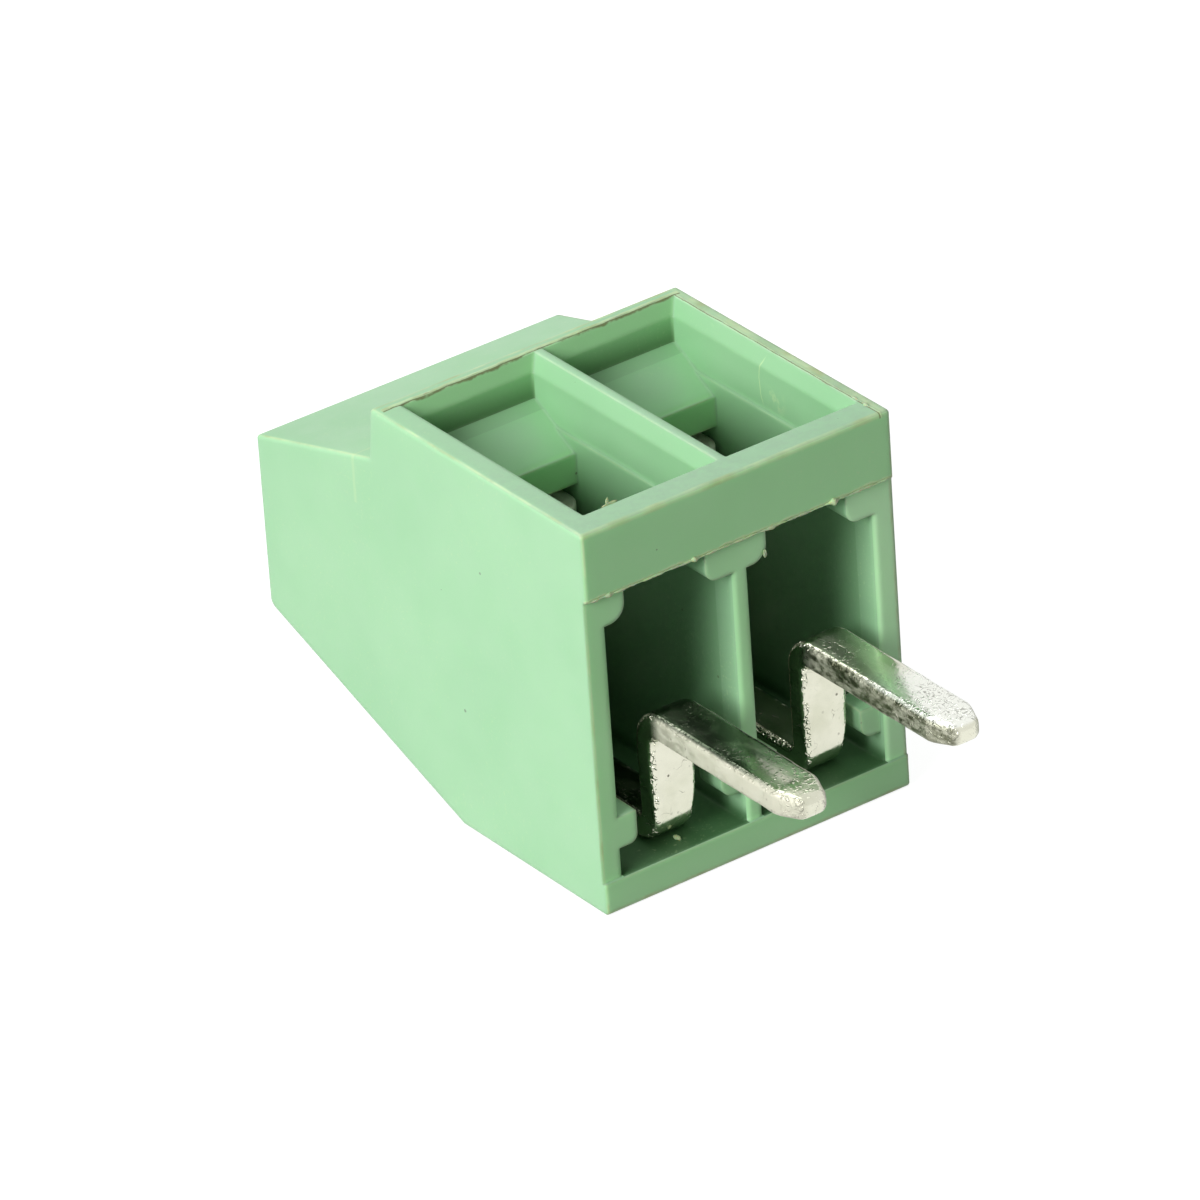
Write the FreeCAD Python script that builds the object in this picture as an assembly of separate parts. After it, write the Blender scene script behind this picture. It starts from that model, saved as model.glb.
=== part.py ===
import FreeCAD, Part
import math
import os

from FreeCAD import Vector

# Two-pole screw terminal for a printed board, with rising clamp sleeves. Millimetres.
# X runs across the poles, Y up from the board face to the screw face, Z from the flat back to the wire face.

# Poles
poles = 2
pitch = 2.54

# Housing, outside
screw_face_height = 8.25     # board face to screw face
wire_face_depth = 6.28       # flat back to wire face
wire_face_height = 5.16      # how far the wire face runs up from the board
step_drop = 0.87             # from the wire face down to the foot of the shoulder
step_lean = 0.12             # lean of the step between wire face and shoulder
shoulder_fall = 0.81         # fall of the shoulder up to the screw face
back_flat_height = 3.54      # flat part of the back, on which the terminal lies
back_setback = 1.75          # how far the slanted back has come in at the screw face
edge_round = 0.06
screw_edge_round = 0.18      # back edge of the screw face
side_edge_round = 0.05

# Housing, walls and cells
side_wall = 0.38
rib_wall = 0.30              # between two cells
back_wall = 0.52
slant_wall = 0.42            # behind the cell, where the back slants
front_plate = 1.11           # wire-side plate, which the windows go through
board_bar = 0.53             # bar of that plate between the board face and the windows
end_recess = 0.06            # side walls and rib stop this far short of the board face
mouth_round = 0.09           # inner edges of those walls at the mouth of a cell
sleeve_headroom = 0.05       # over the raised clamp sleeve
ceiling_round = 0.15

# Windows and ledges
window_inset = 0.06          # one side of a window stands in from the cell wall
window_band = 0.36           # between the windows and the step
window_corner = 0.04
rim_round = 0.07
slope_run = 0.14             # slope that breaks the far edge and one side of each window
slope_drop = 0.24
rail_width = 0.04            # that side steps in by this much, down to the cell's wall
rail_drop = 0.93             # from the wire face down to the step
ledge_length = 1.00          # from the far end of the window towards the board
ledge_foot_drop = 0.66       # from the wire face down to the foot of the sloping ledge
ledge_lip_drop = 1.18        # from the wire face down to the lip of the ledge
ledge_lip_round = 0.20
sleeve_room_drop = 1.66      # from the wire face down to the room behind the ledge

# Retaining nibs in the mouth of each cell: side, width, height, corner radius and setback
nib_length = 0.55
front_nibs = ((-1, 0.33, 0.51, 0.28, 0.0), (1, 0.46, 0.51, 0.20, 0.0))   # under the front plate
back_nibs = ((-1, 0.29, 0.51, 0.14, 0.0), (1, 0.34, 0.47, 0.20, 0.10))   # over the back wall
back_nib_rise = 0.47         # from the back wall up to the back nibs

# Screws, turned, with a plain shank at the thread's outer diameter
screw_axis_depth = 3.17      # flat back to the screw axis
thread_diameter = 1.60
head_diameter = 2.00
head_height = 0.85
head_edge = 0.10
slot_width = 0.34
slot_depth = 0.38
tip_diameter = 1.00
tip_taper = 0.22
tip_gap = 0.03               # screw tip to contact bar
running_gap = 0.05           # round the screw, radial, and over its head
access_shoulder = 0.14       # the head can't leave through its access hole
access_edge = 0.12

# Contacts, bent from strip
strip_thickness = 0.42
strip_width = 0.79
strip_edge = 0.09
bar_height = 3.85            # board face to the underside of the clamping bar
bar_end_gap = 0.22           # free end of the bar to the front of its room
jog_height = 0.28            # board face to the jog's outer side
pin_depth = 2.38             # flat back to the underside of the pin
pin_reach = 3.15             # pin tip below the board face
pin_taper = 0.50
pin_tip_width = 0.48
pin_tip_thickness = 0.34
pin_tip_round = 0.08
bar_bend = 0.40              # inner bend radii
foot_bend = 0.10
pin_bend = 0.12
contact_play = ((0.05, 0.0, 0.0), (0.27, 0.02, 0.10))   # each contact: across, off the back, pin higher

# Clamp sleeves, folded from strip, in the raised position
sheet = 0.30
sleeve_side_gap = 0.06
sleeve_depth = 2.45          # along the wire
sleeve_fold = 0.12           # inner fold radius
wire_room = 2.00             # between bar and sleeve floor with the sleeve fully down
sleeve_play = 0.05           # between bar and sleeve floor with the sleeve raised
flap_setback = 0.10          # the outer flap stops short of the fold beneath it
flap_round = 0.06

# Modelling
past = 1.0                   # how far a cut runs beyond the face it opens
tolerance = 1e-3             # for picking edges by their place

# Worked out from the sizes above
cell_width = pitch - rib_wall
housing_width = (poles - 1) * pitch + cell_width + 2 * side_wall
shoulder_height = wire_face_height + step_lean
shoulder_depth = wire_face_depth - step_drop
cell_front = wire_face_depth - front_plate
window_end = wire_face_height - window_band
sleeve_room_depth = wire_face_depth - sleeve_room_drop
slant_rise = back_setback / (screw_face_height - back_flat_height)
tip_height = bar_height + strip_thickness + tip_gap
bar_end_depth = sleeve_room_depth - bar_end_gap
sleeve_floor_top = bar_height - sleeve_play
sleeve_roof = sleeve_floor_top + strip_thickness + wire_room
sleeve_width = cell_width - 2 * sleeve_side_gap
thread_hole = thread_diameter + 2 * running_gap
ceiling_height = sleeve_roof + 2 * sheet + sleeve_headroom
head_seat = ceiling_height + running_gap
access_diameter = head_diameter - 2 * access_shoulder


def pole_x(pole):
    return (pole - (poles - 1) / 2) * pitch


def slant_depth(height, wall=0.0):
    """Depth of the slanted back at a height, or of a surface a wall's thickness in front of it."""
    return (height - back_flat_height) * slant_rise + wall * math.hypot(1, slant_rise)


def rounded_edges(corners, place):
    """Edges of a closed outline through corners (u, v, radius), each radius a tangent arc."""
    points = [Vector(u, v, 0) for u, v, _ in corners]
    edges, ends = [], []
    for i, (_, _, radius) in enumerate(corners):
        here = points[i]
        back = (points[i - 1] - here).normalize()
        ahead = (points[(i + 1) % len(points)] - here).normalize()
        if radius == 0:
            ends.append((here, here))
            continue
        half = math.acos(back.dot(ahead)) / 2
        start = here + back * (radius / math.tan(half))
        end = here + ahead * (radius / math.tan(half))
        middle = (back + ahead).normalize()
        crown = here + middle * (radius / math.sin(half) - radius)
        edges.append((i, Part.Arc(place(start), place(crown), place(end)).toShape()))
        ends.append((start, end))
    for i in range(len(corners)):
        start, end = ends[i - 1][1], ends[i][0]
        if (end - start).Length > 1e-6:
            edges.append((i - 0.5, Part.LineSegment(place(start), place(end)).toShape()))
    return [edge for _, edge in sorted(edges, key=lambda item: item[0])]


def prism_along_x(corners, x_low, x_high):
    """Solid with a (y, z, radius) outline between two X positions."""
    wire = Part.Wire(rounded_edges(corners, lambda p: Vector(x_low, p.x, p.y)))
    return Part.Face(wire).extrude(Vector(x_high - x_low, 0, 0))


def prism_along_y(corners, y_low, y_high):
    """Solid with an (x, z, radius) outline between two Y positions."""
    wire = Part.Wire(rounded_edges(corners, lambda p: Vector(p.x, y_low, p.y)))
    return Part.Face(wire).extrude(Vector(0, y_high - y_low, 0))


def prism_along_z(corners, z_low, z_high):
    """Solid with an (x, y, radius) outline between two Z positions."""
    wire = Part.Wire(rounded_edges(corners, lambda p: Vector(p.x, p.y, z_low)))
    return Part.Face(wire).extrude(Vector(0, 0, z_high - z_low))


def turned(profile, x, z):
    """Solid of revolution from a (radius, y) profile about the line at x, z."""
    points = [Vector(x + radius, y, z) for radius, y in profile]
    face = Part.Face(Part.makePolygon(points + points[:1]))
    return face.revolve(Vector(x, 0, z), Vector(0, 1, 0), 360)


def rounded(solid, radius, wanted):
    """Fillet the edges that a test picks."""
    return solid.makeFillet(radius, [edge for edge in solid.Edges if wanted(edge)])


def lies_on(edge, axis, value):
    box = edge.BoundBox
    low, high = getattr(box, axis + "Min"), getattr(box, axis + "Max")
    return abs(low - value) < tolerance and abs(high - value) < tolerance


def outer_block():
    outline = (
        (0, 0, edge_round),
        (0, wire_face_depth, edge_round),
        (wire_face_height, wire_face_depth, edge_round),
        (shoulder_height, shoulder_depth, edge_round),
        (screw_face_height, shoulder_depth - shoulder_fall, edge_round),
        (screw_face_height, back_setback, screw_edge_round),
        (back_flat_height, 0, 0),
    )
    half = housing_width / 2
    block = prism_along_x(outline, -half, half)
    return rounded(block, side_edge_round, lambda e: lies_on(e, "X", -half) or lies_on(e, "X", half))


def cell(x):
    """Room for one pole, open to the board, with the nibs left standing in its mouth."""
    half = cell_width / 2
    bend_height = back_flat_height + (back_wall - slant_wall * math.hypot(1, slant_rise)) / slant_rise
    outline = (
        (-past, back_wall, 0),
        (bend_height, back_wall, 0),
        (ceiling_height, slant_depth(ceiling_height, slant_wall), ceiling_round),
        (ceiling_height, sleeve_room_depth, ceiling_round),
        (window_end - ledge_length, sleeve_room_depth, 0),
        (window_end - ledge_length, cell_front, 0),
        (-past, cell_front, 0),
    )
    room = prism_along_x(outline, x - half, x + half)
    return room.cut(nib_solids(x))


def nib_solids(x):
    """The four nibs, each with its lower free corner rounded."""
    back_low = back_wall + back_nib_rise
    places = [(cell_front - nib[2], cell_front, nib) for nib in front_nibs]
    places += [(back_low, back_low + nib[2], nib) for nib in back_nibs]
    solids = []
    for low, high, (side, width, _, corner, setback) in places:
        wall = x + side * cell_width / 2
        free = wall - side * width
        start = end_recess + setback
        outline = ((wall, low, 0), (free, low, corner), (free, high, 0), (wall, high, 0))
        solids.append(prism_along_y(outline, start, start + nib_length))
    return solids


def window(x):
    """Wire opening with a step down one side, a sloped edge and the ledge left at its far end."""
    left = x - cell_width / 2 + window_inset
    right = x + cell_width / 2
    low = cell_front - end_recess
    high = wire_face_depth + past
    opening = prism_along_z(window_outline(left, right, window_end), low, high)
    step = window_outline(left, right + rail_width, window_end)
    opening = opening.fuse(prism_along_z(step, wire_face_depth - rail_drop, high))
    foot = wire_face_depth - ledge_foot_drop
    ledge = prism_along_x(
        (
            (window_end + past, sleeve_room_depth, 0),
            (window_end - ledge_length, sleeve_room_depth, 0),
            (window_end - ledge_length, wire_face_depth - ledge_lip_drop, ledge_lip_round),
            (window_end, foot, 0),
            (window_end + past, foot, 0),
        ),
        x - pitch,
        x + pitch,
    )
    return opening.fuse(window_slope(left, right + rail_width)).cut(ledge)


def window_outline(left, right, far):
    return (
        (left, board_bar, window_corner),
        (right, board_bar, window_corner),
        (right, far, window_corner),
        (left, far, window_corner),
    )


def window_slope(left, right):
    """Mitred slopes from the far wall and the right wall out to the wire face, and as far again beyond it."""
    sections = []
    for run, z in ((0, wire_face_depth - slope_drop), (2 * slope_run, wire_face_depth + slope_drop)):
        corners = (left, board_bar), (right + run, board_bar), (right + run, window_end + run), (left, window_end + run)
        sections.append(Part.makePolygon([Vector(x, y, z) for x, y in corners + corners[:1]]))
    return Part.makeLoft(sections, True, True)


def mouth(x):
    """Step back of the side walls and rib between the bar and the back wall."""
    half = pitch / 2 + side_wall
    return prism_along_x(
        (
            (-past, back_wall, 0),
            (end_recess, back_wall, 0),
            (end_recess, cell_front, 0),
            (-past, cell_front, 0),
        ),
        x - half,
        x + half,
    )


def screw_bore(x):
    """Stepped bore: pocket for the head, then the smaller access hole with a broken edge."""
    pocket = head_diameter / 2 + running_gap
    access = access_diameter / 2
    lip = head_seat + head_height + running_gap
    profile = (
        (0, ceiling_height - ceiling_round),
        (pocket, ceiling_height - ceiling_round),
        (pocket, lip),
        (access, lip),
        (access, screw_face_height - access_edge),
        (access + 2 * access_edge, screw_face_height + access_edge),
        (0, screw_face_height + access_edge),
    )
    return turned(profile, x, screw_axis_depth)


def make_housing():
    body = outer_block()
    for pole in range(poles):
        x = pole_x(pole)
        for tool in (cell(x), window(x), mouth(x), screw_bore(x)):
            body = body.cut(tool)
    body = body.removeSplitter()
    body = rounded(body, mouth_round, is_mouth_edge)
    return rounded(body, rim_round, is_rim_edge)


def is_mouth_edge(edge):
    """Inner edges of the side walls and rib at the mouth, between and below the nibs."""
    box = edge.BoundBox
    walls = [pole_x(pole) + side * cell_width / 2 for pole in range(poles) for side in (-1, 1)]
    upright = box.ZLength > 2 * mouth_round
    return upright and lies_on(edge, "Y", end_recess) and any(lies_on(edge, "X", wall) for wall in walls)


def is_rim_edge(edge):
    """The window edges on the wire face that have no slope: on the left of each window and along the bar."""
    lefts = [pole_x(pole) - cell_width / 2 + window_inset for pole in range(poles)]
    left = any(lies_on(edge, "X", x) for x in lefts)
    inside = abs(edge.BoundBox.Center.x) < housing_width / 2 - side_wall / 2
    return lies_on(edge, "Z", wire_face_depth) and inside and (left or lies_on(edge, "Y", board_bar))


def make_contact(pole):
    """Clamping bar, leg along the back wall, jog and solder pin, bent from one strip."""
    across, off_back, pin_rise = contact_play[pole % len(contact_play)]
    x = pole_x(pole) + across
    back = back_wall + off_back
    bar_end = bar_end_depth + off_back
    t = strip_thickness
    bar_top = bar_height + t
    under = pin_depth + off_back + pin_rise
    top = under + t
    tip_under = under + (t - pin_tip_thickness) / 2
    taper_start = pin_taper - pin_reach
    side = (
        (bar_top, bar_end, 0),
        (bar_top, back, bar_bend + t),
        (jog_height, back, foot_bend + t),
        (jog_height, under, pin_bend),
        (taper_start, under, 0),
        (-pin_reach, tip_under, pin_tip_round),
        (-pin_reach, tip_under + pin_tip_thickness, pin_tip_round),
        (taper_start, top, 0),
        (jog_height + t, top, pin_bend + t),
        (jog_height + t, back + t, foot_bend),
        (bar_height, back + t, bar_bend),
        (bar_height, bar_end, 0),
    )
    half, tip_half = strip_width / 2, pin_tip_width / 2
    plan = (
        (x - half, bar_top + past, 0),
        (x - half, taper_start, 0),
        (x - tip_half, -pin_reach, pin_tip_round),
        (x + tip_half, -pin_reach, pin_tip_round),
        (x + half, taper_start, 0),
        (x + half, bar_top + past, 0),
    )
    strip = prism_along_x(side, x - half, x + half)
    strip = strip.common(prism_along_z(plan, 0, wire_face_depth)).removeSplitter()

    def long_edge(edge):
        box = edge.BoundBox
        beside = box.XMin > x + tip_half or box.XMax < x - tip_half
        return beside and box.YMin > taper_start - tolerance and not lies_on(edge, "Z", bar_end)

    return rounded(strip, strip_edge, long_edge)


def make_sleeve(pole):
    """Folded sleeve round the bar: floor, two sides and a doubled, tapped roof.

    The tapping drill runs on below the roof and grazes both sides, which makes room for the screw.
    """
    x = pole_x(pole)
    half = sleeve_width / 2
    bottom = sleeve_floor_top - sheet
    fold = sleeve_fold + sheet
    flap_end = -half + fold + flap_setback
    low_roof = sleeve_roof + sheet
    high_roof = low_roof + sheet
    outside = (
        (x - half, bottom, fold),
        (x + half, bottom, fold),
        (x + half, high_roof, fold),
        (x + flap_end, high_roof, flap_round),
        (x + flap_end, low_roof, 0),
        (x - half, low_roof, fold),
    )
    inner = half - sheet
    inside = (
        (x - inner, sleeve_floor_top, sleeve_fold),
        (x + inner, sleeve_floor_top, sleeve_fold),
        (x + inner, sleeve_roof, sleeve_fold),
        (x - inner, sleeve_roof, sleeve_fold),
    )
    low = screw_axis_depth - sleeve_depth / 2
    high = low + sleeve_depth
    body = prism_along_z(outside, low, high).cut(prism_along_z(inside, low - past, high + past))
    radius = thread_hole / 2
    drill_end = tip_height - running_gap
    tapped = ((0, drill_end), (radius, drill_end), (radius, high_roof + past), (0, high_roof + past))
    return body.cut(turned(tapped, x, screw_axis_depth))


def make_screw(pole):
    """Slotted screw: it turns in its pocket and its tip bears on the contact bar."""
    x = pole_x(pole)
    shank = thread_diameter / 2
    head = head_diameter / 2
    head_top = head_seat + head_height
    profile = (
        (0, tip_height),
        (tip_diameter / 2, tip_height),
        (shank, tip_height + tip_taper),
        (shank, head_seat),
        (head, head_seat),
        (head, head_top - head_edge),
        (head - head_edge, head_top),
        (0, head_top),
    )
    body = turned(profile, x, screw_axis_depth)
    slot = Part.makeBox(
        head_diameter + 2 * past,
        slot_depth + past,
        slot_width,
        Vector(x - head - past, head_top - slot_depth, screw_axis_depth - slot_width / 2),
    )
    return body.cut(slot)


def write(name, shape):
    solids = shape.Solids
    assert len(solids) == 1 and solids[0].isValid(), name
    solids[0].exportStep("parts/" + name + ".step")
    print(name, "volume", round(solids[0].Volume, 4), "faces", len(solids[0].Faces))


os.makedirs("parts", exist_ok=True)
write("housing", make_housing())
for pole in range(poles):
    number = str(pole + 1)
    write("contact_" + number, make_contact(pole))
    write("clamp_sleeve_" + number, make_sleeve(pole))
    write("clamp_screw_" + number, make_screw(pole))
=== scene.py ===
# Two-pole screw terminal lying on its back on a white table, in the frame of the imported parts: x runs across
# the poles, y from the board face towards the screws, and z from the back up to the wire face.
# Lengths in the dictionaries are in millimetres. The frame's and Blender's own are in metres.
import math

import bpy
import numpy as np
from mathutils import Matrix, Vector


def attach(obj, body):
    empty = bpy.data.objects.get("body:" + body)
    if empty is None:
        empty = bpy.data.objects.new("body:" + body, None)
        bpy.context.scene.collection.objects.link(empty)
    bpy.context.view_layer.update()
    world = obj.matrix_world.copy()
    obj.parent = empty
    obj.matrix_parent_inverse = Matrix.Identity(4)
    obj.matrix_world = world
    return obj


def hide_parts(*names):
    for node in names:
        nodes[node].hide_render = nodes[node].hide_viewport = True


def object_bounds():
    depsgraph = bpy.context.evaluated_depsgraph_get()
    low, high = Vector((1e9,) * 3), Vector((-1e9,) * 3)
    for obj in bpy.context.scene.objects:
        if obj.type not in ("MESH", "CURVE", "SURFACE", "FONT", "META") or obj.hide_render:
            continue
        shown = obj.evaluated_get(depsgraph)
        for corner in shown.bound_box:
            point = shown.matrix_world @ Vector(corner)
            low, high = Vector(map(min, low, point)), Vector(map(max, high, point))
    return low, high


mm = 0.001
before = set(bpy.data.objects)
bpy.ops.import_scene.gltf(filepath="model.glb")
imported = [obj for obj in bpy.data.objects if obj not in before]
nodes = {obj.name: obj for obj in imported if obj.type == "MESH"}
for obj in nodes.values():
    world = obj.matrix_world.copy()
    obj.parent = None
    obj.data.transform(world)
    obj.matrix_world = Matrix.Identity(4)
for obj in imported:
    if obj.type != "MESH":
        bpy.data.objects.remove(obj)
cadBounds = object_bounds()
print("frame loaded:", sorted(nodes))


class Wire:
    # One output of a shader tree. Arithmetic with numbers or other wires adds Math nodes.
    def __init__(self, tree, socket):
        self.tree, self.socket = tree, socket

    def calc(self, operation, *others):
        return self.tree.node("ShaderNodeMath", {"operation": operation}, dict(enumerate((self,) + others)))

    def flipped(self, operation, other):
        return self.tree.node("ShaderNodeMath", {"operation": operation}, {0: other, 1: self})

    def __add__(self, other):
        return self.calc("ADD", other)

    def __radd__(self, other):
        return self.flipped("ADD", other)

    def __sub__(self, other):
        return self.calc("SUBTRACT", other)

    def __rsub__(self, other):
        return self.flipped("SUBTRACT", other)

    def __mul__(self, other):
        return self.calc("MULTIPLY", other)

    def __rmul__(self, other):
        return self.flipped("MULTIPLY", other)

    def __lt__(self, other):
        return self.calc("LESS_THAN", other)

    def __gt__(self, other):
        return self.calc("GREATER_THAN", other)


class Tree:
    # A node tree, emptied, and the one way its nodes are added.
    def __init__(self, tree):
        self.nodes, self.links = tree.nodes, tree.links
        self.nodes.clear()

    def put(self, socket, value):
        if isinstance(value, Wire):
            self.links.new(value.socket, socket)
        else:
            socket.default_value = value

    def node(self, kind, settings=None, sockets=None, output=0):
        made = self.nodes.new(kind)
        for label, value in (settings or {}).items():
            setattr(made, label, value)
        for label, value in (sockets or {}).items():
            self.put(made.inputs[label], value)
        if isinstance(output, tuple):
            return [Wire(self, made.outputs[part]) for part in output]
        return Wire(self, made.outputs[output]) if len(made.outputs) else None


class Finish(Tree):
    # A material with one principled shader.
    def __init__(self, name, **constants):
        self.material = bpy.data.materials.new(name)
        self.material.use_nodes = True
        super().__init__(self.material.node_tree)
        surface = self.node("ShaderNodeBsdfPrincipled")
        self.node("ShaderNodeOutputMaterial", {}, {"Surface": surface})
        self.shader = surface.socket.node
        for label, value in constants.items():
            self.set(label.replace("_", " "), value)

    def set(self, label, value):
        self.put(self.shader.inputs[label], value)

    def blend(self, factor, under, over):
        # Two colours mixed: under at factor 0, over at factor 1.
        settings = {"data_type": "RGBA", "blend_type": "MIX", "clamp_factor": True}
        return self.node("ShaderNodeMix", settings, {0: factor, 6: under, 7: over}, 2)

    def place(self, scale=1.0, stretch=(1, 1, 1), turn=(0, 0, 0), shift=(0, 0, 0)):
        # Object coordinates in millimetres, times scale.
        spot = self.node("ShaderNodeTexCoord", output="Object")
        factor = [side * scale / mm for side in stretch]
        sockets = {"Vector": spot, "Location": shift, "Rotation": turn, "Scale": factor}
        return self.node("ShaderNodeMapping", {"vector_type": "POINT"}, sockets)

    def noise(self, where, detail=3.0, roughness=0.5, distortion=0.0):
        sockets = {"Vector": where, "Scale": 1.0, "Detail": detail, "Roughness": roughness}
        sockets["Distortion"] = distortion
        return self.node("ShaderNodeTexNoise", {"noise_dimensions": "3D"}, sockets)

    def remap(self, value, low, high, toLow=0.0, toHigh=1.0):
        # A smooth step from toLow at low to toHigh at high, and level beyond both. low may be the greater.
        settings = {"interpolation_type": "SMOOTHSTEP", "clamp": True}
        return self.node("ShaderNodeMapRange", settings, {0: value, 1: low, 2: high, 3: toLow, 4: toHigh})

    def line(self, value, centre, inner, outer):
        # 1 on a line of a coordinate, fading to 0 between two distances from it.
        return self.remap((value - centre).calc("ABSOLUTE"), outer, inner)

    def specks(self, where, size, share, soft=False):
        # Dots round scattered points whose random number is over share. Soft ones fade over their outer half.
        settings = {"feature": "F1", "voronoi_dimensions": "3D"}
        sockets = {"Vector": where, "Scale": 1.0}
        distance, tint = self.node("ShaderNodeTexVoronoi", settings, sockets, ("Distance", "Color"))
        pick = self.node("ShaderNodeSeparateColor", {}, {0: tint}, 0)
        dot = self.remap(distance, size, size * 0.5) if soft else distance < size
        return dot * (pick > share)

    def bump(self, height, strength, distance, under=None):
        sockets = {"Strength": strength, "Distance": distance, "Height": height}
        if under is not None:
            sockets["Normal"] = under
        return self.node("ShaderNodeBump", {}, sockets)


def rgb(red, green, blue):
    # An 8-bit screen colour as linear light.
    parts = np.array((red, green, blue)) / 255.0
    linear = np.where(parts <= 0.04045, parts / 12.92, ((parts + 0.055) / 1.055) ** 2.4)
    return (*map(float, linear), 1.0)


def evenGrey(level):
    return (level, level, level, 1.0)


housingLook = {
    "green": rgb(171, 221, 174), "deepGreen": rgb(160, 213, 165), "greyGreen": rgb(160, 200, 164),
    "frontGreen": rgb(169, 229, 165), "paleFront": rgb(196, 250, 192),
    "windowShade": rgb(104, 164, 104), "farShade": rgb(74, 108, 66), "shade": rgb(97, 138, 99),
    "floorShade": rgb(62, 104, 62), "cream": rgb(208, 232, 178), "olive": rgb(178, 190, 126),
    "brown": rgb(104, 108, 60), "speck": rgb(66, 60, 44),
    # How much of a tone, painted shade and light among them, is laid over what is there.
    "cloudMix": 0.6, "footMix": 0.3, "windowMix": 0.19, "leftWallMix": 0.14, "cellMix": 0.91,
    "leftCellMix": 0.07, "floorMix": 0.95, "lipMix": 0.45, "ledgeMix": 0.55, "palePatchMix": 0.35,
    "creviceMix": 0.2, "bevelEdge": 0.7, "sideEdge": 0.8, "frontEdge": 0.8, "edgeMix": 0.75,
    "sideBand": 0.7, "bandMix": 0.75, "threadMix": 0.9, "jointMix": 0.35, "flashMix": 0.8,
    "hairMix": 0.6, "smudgeMix": 0.35, "dustMix": 0.22, "windowDustLess": 0.15, "speckMix": 0.5,
    # Outer sizes, and where the cells, windows and ledges lie.
    "halfWidth": cadBounds[1].x / mm, "topDepth": cadBounds[1].z / mm, "poleAside": 1.27,
    "cellHalf": 1.135, "cellNear": 0.03, "cellFar": 5.22, "cellFloor": 0.52, "cellTop": 5.17,
    "wallNear": 0.075, "windowHalf": 2.64, "windowNear": 0.50, "windowFar": 4.99,
    "farWallNear": 4.6, "farWallDark": (6.15, 5.60), "ledgeNear": 3.95, "palePatchAt": (0.45, 4.35),
    "lipLine": 4.03, "lipHalf": 2.50, "lipDark": (5.12, 4.85),
    # A cell's painted shade is full below the plane z + mouthSlope * y = mouthPlane. windowFade is below
    # cellTop.
    "mouthSlope": 0.68, "mouthPlane": 5.5, "mouthFade": 1.2, "windowFade": (0.25, 1.45), "lipLess": 0.5,
    # Stretches of the coordinate at a name's end over which a tone fades in, or between which it lies.
    "setBackY": (0.01, 0.4), "setBackX": (-1.2, 2.6), "footZ": (0.6, 0.3), "greyTopY": (5.0, 0.2),
    "mouthY": (-0.35, 1.5), "floorY": (-0.25, 0.12), "floorRiseZ": (0.30, 0.02), "ledgeX": (0.1, -1.1),
    "rimX": (2.60, 2.66),
    # Lines and marks on the faces, painted edge highlights among them. A width is two distances from the line:
    # the colour is full up to the first and gone at the second.
    "stepLine": 5.16, "edgeFade": (0.095, 0.050), "sideWidth": (0.0, 0.035),
    "farLine": 4.945, "sideLine": 2.585, "lineHalf": 2.68, "bandBeyondFar": 0.045, "bandBeyondSide": 0.03,
    "threadWidth": (0.006, 0.021), "sideThreadWidth": (0.004, 0.016),
    "bandWidth": (0.015, 0.05), "sideBandWidth": (0.004, 0.022),
    "flashRise": 0.025, "flashWidth": (0.012, 0.045), "jointLine": 5.72, "jointWidth": (0.01, 0.05),
    "hairAt": (2.72, 5.80), "hairBend": 0.55, "hairWidth": (0.004, 0.016), "hairLength": (0.30, 0.42),
    "smudgeAt": (2.35, 5.60), "smudgeWide": (0.05, 0.30), "smudgeHigh": (0.05, 0.25), "scratchedSide": 2.3,
    # Specks of two sizes: scattered points per millimetre and their shift, the radius as a share of their
    # spacing, and the random number above which a point has a speck.
    "speckKinds": ((1.1, (0, 0, 0), 0.030, 0.70), (3.4, (7, 2, 1), 0.045, 0.93)),
    # Finish and relief.
    "roughness": (0.35, 0.48), "edgeRadius": 0.10, "creamRadius": 0.055, "creviceReach": 0.12,
    "waveDepth": 0.03, "grainDepth": 0.004, "flashDepth": 0.012,
}


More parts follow.
